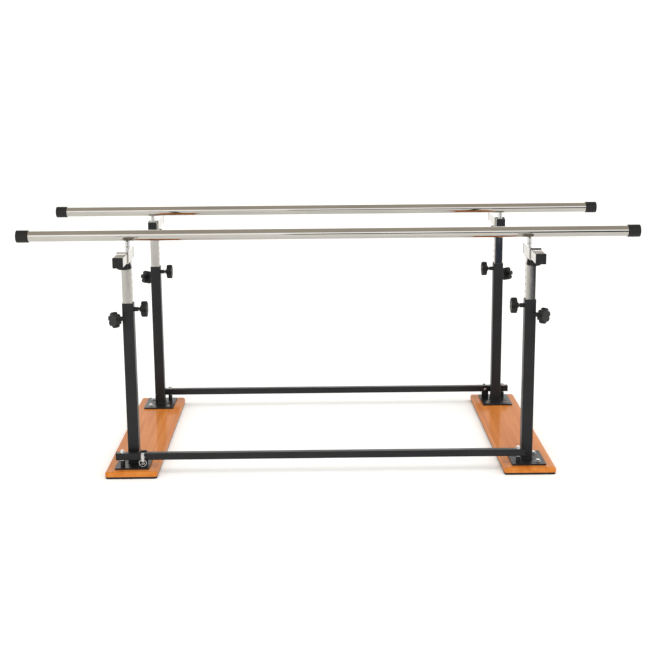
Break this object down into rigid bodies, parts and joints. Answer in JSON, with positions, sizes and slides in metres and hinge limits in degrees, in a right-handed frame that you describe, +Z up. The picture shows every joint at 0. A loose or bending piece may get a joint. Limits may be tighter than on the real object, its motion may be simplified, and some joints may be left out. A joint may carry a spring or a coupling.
{
  "type": "folding physiotherapy parallel bars",
  "caption": "Folding walking-practice parallel bars: two polished handrails on telescoping black posts over timber base boards, adjustable in height and width.",
  "frame": {"origin": "on the floor, under the middle of the object", "axes": "+X along the handrails towards the right base, +Y across them towards the rear rail, +Z up"},
  "size_m": [2.21, 1.186, 0.877],
  "materials": {
    "black_steel": "black powder coat, fine orange-peel texture, semi-gloss",
    "polished_steel": "polished bright steel tube",
    "zinc_steel": "bright zinc-plated fasteners and turned steel",
    "timber": "clear-lacquered warm pine, grain along the board",
    "rubber": "matt black moulded rubber",
    "black_plastic": "matt black moulded nylon, finely grained"
  },
  "bodies": {
    "left_base": {"left_board": "timber", "left_mat": "rubber", "left_foot_plates": "black_steel", "front_left_post": "black_steel", "rear_left_post": "black_steel", "left_knob_bosses": "black_steel", "left_plate_bolts": "zinc_steel", "left_pivot_studs": "zinc_steel", "left_latch_bracket": "black_steel"},
    "right_base": {"right_board": "timber", "right_mat": "rubber", "right_foot_plates": "black_steel", "front_right_post": "black_steel", "rear_right_post": "black_steel", "right_knob_bosses": "black_steel", "right_plate_bolts": "zinc_steel", "right_pivot_studs": "zinc_steel", "right_latch_bracket": "black_steel"},
    "front_crossbar": {"front_crossbar": "black_steel", "front_crossbar_plugs": "black_plastic"},
    "front_rail": {"front_rail": "polished_steel", "front_rail_ferrules": "rubber", "front_rail_rods": "zinc_steel"},
    "front_quick_pin": {"front_quick_pin": "zinc_steel"},
    "front_pull_ring": {"front_pull_ring": "zinc_steel"},
    "front_left_column": {"front_left_column": "polished_steel", "front_left_sleeve": "polished_steel"},
    "front_left_arm": {"front_left_arm": "polished_steel", "front_left_arm_plugs": "black_plastic"},
    "front_left_side_knob": {"front_left_side_knob": "black_plastic"},
    "front_left_corner_knob": {"front_left_corner_knob": "black_plastic"},
    "front_left_arm_knob": {"front_left_arm_knob": "black_plastic"},
    "front_right_column": {"front_right_column": "polished_steel", "front_right_sleeve": "polished_steel"},
    "front_right_arm": {"front_right_arm": "polished_steel", "front_right_arm_plugs": "black_plastic"},
    "front_right_side_knob": {"front_right_side_knob": "black_plastic"},
    "front_right_corner_knob": {"front_right_corner_knob": "black_plastic"},
    "front_right_arm_knob": {"front_right_arm_knob": "black_plastic"},
    "rear_crossbar": {"rear_crossbar": "black_steel", "rear_crossbar_plugs": "black_plastic"},
    "rear_rail": {"rear_rail": "polished_steel", "rear_rail_ferrules": "rubber", "rear_rail_rods": "zinc_steel"},
    "rear_quick_pin": {"rear_quick_pin": "zinc_steel"},
    "rear_pull_ring": {"rear_pull_ring": "zinc_steel"},
    "rear_left_column": {"rear_left_column": "polished_steel", "rear_left_sleeve": "polished_steel"},
    "rear_left_arm": {"rear_left_arm": "polished_steel", "rear_left_arm_plugs": "black_plastic"},
    "rear_left_side_knob": {"rear_left_side_knob": "black_plastic"},
    "rear_left_corner_knob": {"rear_left_corner_knob": "black_plastic"},
    "rear_left_arm_knob": {"rear_left_arm_knob": "black_plastic"},
    "rear_right_column": {"rear_right_column": "polished_steel", "rear_right_sleeve": "polished_steel"},
    "rear_right_arm": {"rear_right_arm": "polished_steel", "rear_right_arm_plugs": "black_plastic"},
    "rear_right_side_knob": {"rear_right_side_knob": "black_plastic"},
    "rear_right_corner_knob": {"rear_right_corner_knob": "black_plastic"},
    "rear_right_arm_knob": {"rear_right_arm_knob": "black_plastic"}
  },
  "joints": [
    {"name": "fold", "type": "hinge", "parent": "left_base", "child": "front_crossbar", "pos_m": [-0.749, -0.444, 0.068], "axis": [0, 0, 1], "range_deg": [-80, 0]},
    {"name": "fold_right_base", "type": "hinge", "parent": "front_crossbar", "child": "right_base", "pos_m": [0.677, -0.444, 0.068], "axis": [0, 0, 1], "range_deg": [0, 80]},
    {"name": "fold_rear_crossbar", "type": "hinge", "parent": "left_base", "child": "rear_crossbar", "pos_m": [-0.677, 0.444, 0.068], "axis": [0, 0, 1], "range_deg": [-80, 0]},
    {"name": "front_left_height", "type": "slide", "parent": "left_base", "child": "front_left_column", "axis": [0, 0, 1], "range_m": [-0.13, 0.17]},
    {"name": "front_left_width", "type": "slide", "parent": "front_left_column", "child": "front_left_arm", "axis": [0, 1, 0], "range_m": [0, 0.1]},
    {"name": "front_left_side_knob_turn", "type": "hinge", "parent": "left_base", "child": "front_left_side_knob", "pos_m": [-0.713, -0.396, 0.5975], "axis": [1, 0, 0], "range_deg": [0, 720]},
    {"name": "front_left_corner_knob_turn", "type": "hinge", "parent": "left_base", "child": "front_left_corner_knob", "pos_m": [-0.713, -0.396, 0.5675], "axis": [-0.7071, -0.7071, 0], "range_deg": [0, 720]},
    {"name": "front_left_arm_knob_turn", "type": "hinge", "parent": "front_left_column", "child": "front_left_arm_knob", "pos_m": [-0.713, -0.455, 0.76], "axis": [0, 0, -1], "range_deg": [0, 720]},
    {"name": "front_right_height", "type": "slide", "parent": "right_base", "child": "front_right_column", "axis": [0, 0, 1], "range_m": [-0.13, 0.17]},
    {"name": "front_right_width", "type": "slide", "parent": "front_right_column", "child": "front_right_arm", "axis": [0, 1, 0], "range_m": [0, 0.1]},
    {"name": "front_right_side_knob_turn", "type": "hinge", "parent": "right_base", "child": "front_right_side_knob", "pos_m": [0.713, -0.396, 0.5975], "axis": [-1, 0, 0], "range_deg": [0, 720]},
    {"name": "front_right_corner_knob_turn", "type": "hinge", "parent": "right_base", "child": "front_right_corner_knob", "pos_m": [0.713, -0.396, 0.5675], "axis": [0.7071, -0.7071, 0], "range_deg": [0, 720]},
    {"name": "front_right_arm_knob_turn", "type": "hinge", "parent": "front_right_column", "child": "front_right_arm_knob", "pos_m": [0.713, -0.455, 0.76], "axis": [0, 0, -1], "range_deg": [0, 720]},
    {"name": "front_rail_swivel", "type": "hinge", "parent": "front_left_arm", "child": "front_rail", "pos_m": [-0.713, -0.356, 0.794], "axis": [0, 0, 1], "range_deg": [-80, 0]},
    {"name": "front_pin_pull", "type": "slide", "parent": "front_crossbar", "child": "front_quick_pin", "axis": [0, -1, 0], "range_m": [0, 0.045]},
    {"name": "front_ring_swing", "type": "hinge", "parent": "front_quick_pin", "child": "front_pull_ring", "pos_m": [-0.674, -0.466, 0.061], "axis": [-1, 0, 0], "range_deg": [-12, 90]},
    {"name": "rear_left_height", "type": "slide", "parent": "left_base", "child": "rear_left_column", "axis": [0, 0, 1], "range_m": [-0.13, 0.17]},
    {"name": "rear_left_width", "type": "slide", "parent": "rear_left_column", "child": "rear_left_arm", "axis": [0, -1, 0], "range_m": [0, 0.1]},
    {"name": "rear_left_side_knob_turn", "type": "hinge", "parent": "left_base", "child": "rear_left_side_knob", "pos_m": [-0.713, 0.396, 0.5975], "axis": [1, 0, 0], "range_deg": [0, 720]},
    {"name": "rear_left_corner_knob_turn", "type": "hinge", "parent": "left_base", "child": "rear_left_corner_knob", "pos_m": [-0.713, 0.396, 0.5675], "axis": [-0.7071, 0.7071, 0], "range_deg": [0, 720]},
    {"name": "rear_left_arm_knob_turn", "type": "hinge", "parent": "rear_left_column", "child": "rear_left_arm_knob", "pos_m": [-0.713, 0.455, 0.76], "axis": [0, 0, -1], "range_deg": [0, 720]},
    {"name": "rear_right_height", "type": "slide", "parent": "right_base", "child": "rear_right_column", "axis": [0, 0, 1], "range_m": [-0.13, 0.17]},
    {"name": "rear_right_width", "type": "slide", "parent": "rear_right_column", "child": "rear_right_arm", "axis": [0, -1, 0], "range_m": [0, 0.1]},
    {"name": "rear_right_side_knob_turn", "type": "hinge", "parent": "right_base", "child": "rear_right_side_knob", "pos_m": [0.713, 0.396, 0.5975], "axis": [-1, 0, 0], "range_deg": [0, 720]},
    {"name": "rear_right_corner_knob_turn", "type": "hinge", "parent": "right_base", "child": "rear_right_corner_knob", "pos_m": [0.713, 0.396, 0.5675], "axis": [0.7071, 0.7071, 0], "range_deg": [0, 720]},
    {"name": "rear_right_arm_knob_turn", "type": "hinge", "parent": "rear_right_column", "child": "rear_right_arm_knob", "pos_m": [0.713, 0.455, 0.76], "axis": [0, 0, -1], "range_deg": [0, 720]},
    {"name": "rear_rail_swivel", "type": "hinge", "parent": "rear_left_arm", "child": "rear_rail", "pos_m": [-0.713, 0.356, 0.794], "axis": [0, 0, 1], "range_deg": [-80, 0]},
    {"name": "rear_pin_pull", "type": "slide", "parent": "rear_crossbar", "child": "rear_quick_pin", "axis": [0, 1, 0], "range_m": [0, 0.045]},
    {"name": "rear_ring_swing", "type": "hinge", "parent": "rear_quick_pin", "child": "rear_pull_ring", "pos_m": [0.674, 0.466, 0.061], "axis": [1, 0, 0], "range_deg": [-12, 90]}
  ],
  "couplings": [
    {"joint": "fold_right_base", "follows": "fold", "ratio": -1},
    {"joint": "fold_rear_crossbar", "follows": "fold", "ratio": 1},
    {"joint": "front_right_height", "follows": "front_left_height", "ratio": 1},
    {"joint": "front_right_width", "follows": "front_left_width", "ratio": 1},
    {"joint": "front_rail_swivel", "follows": "fold", "ratio": 1},
    {"joint": "rear_right_height", "follows": "rear_left_height", "ratio": 1},
    {"joint": "rear_right_width", "follows": "rear_left_width", "ratio": 1},
    {"joint": "rear_rail_swivel", "follows": "fold", "ratio": 1}
  ]
}
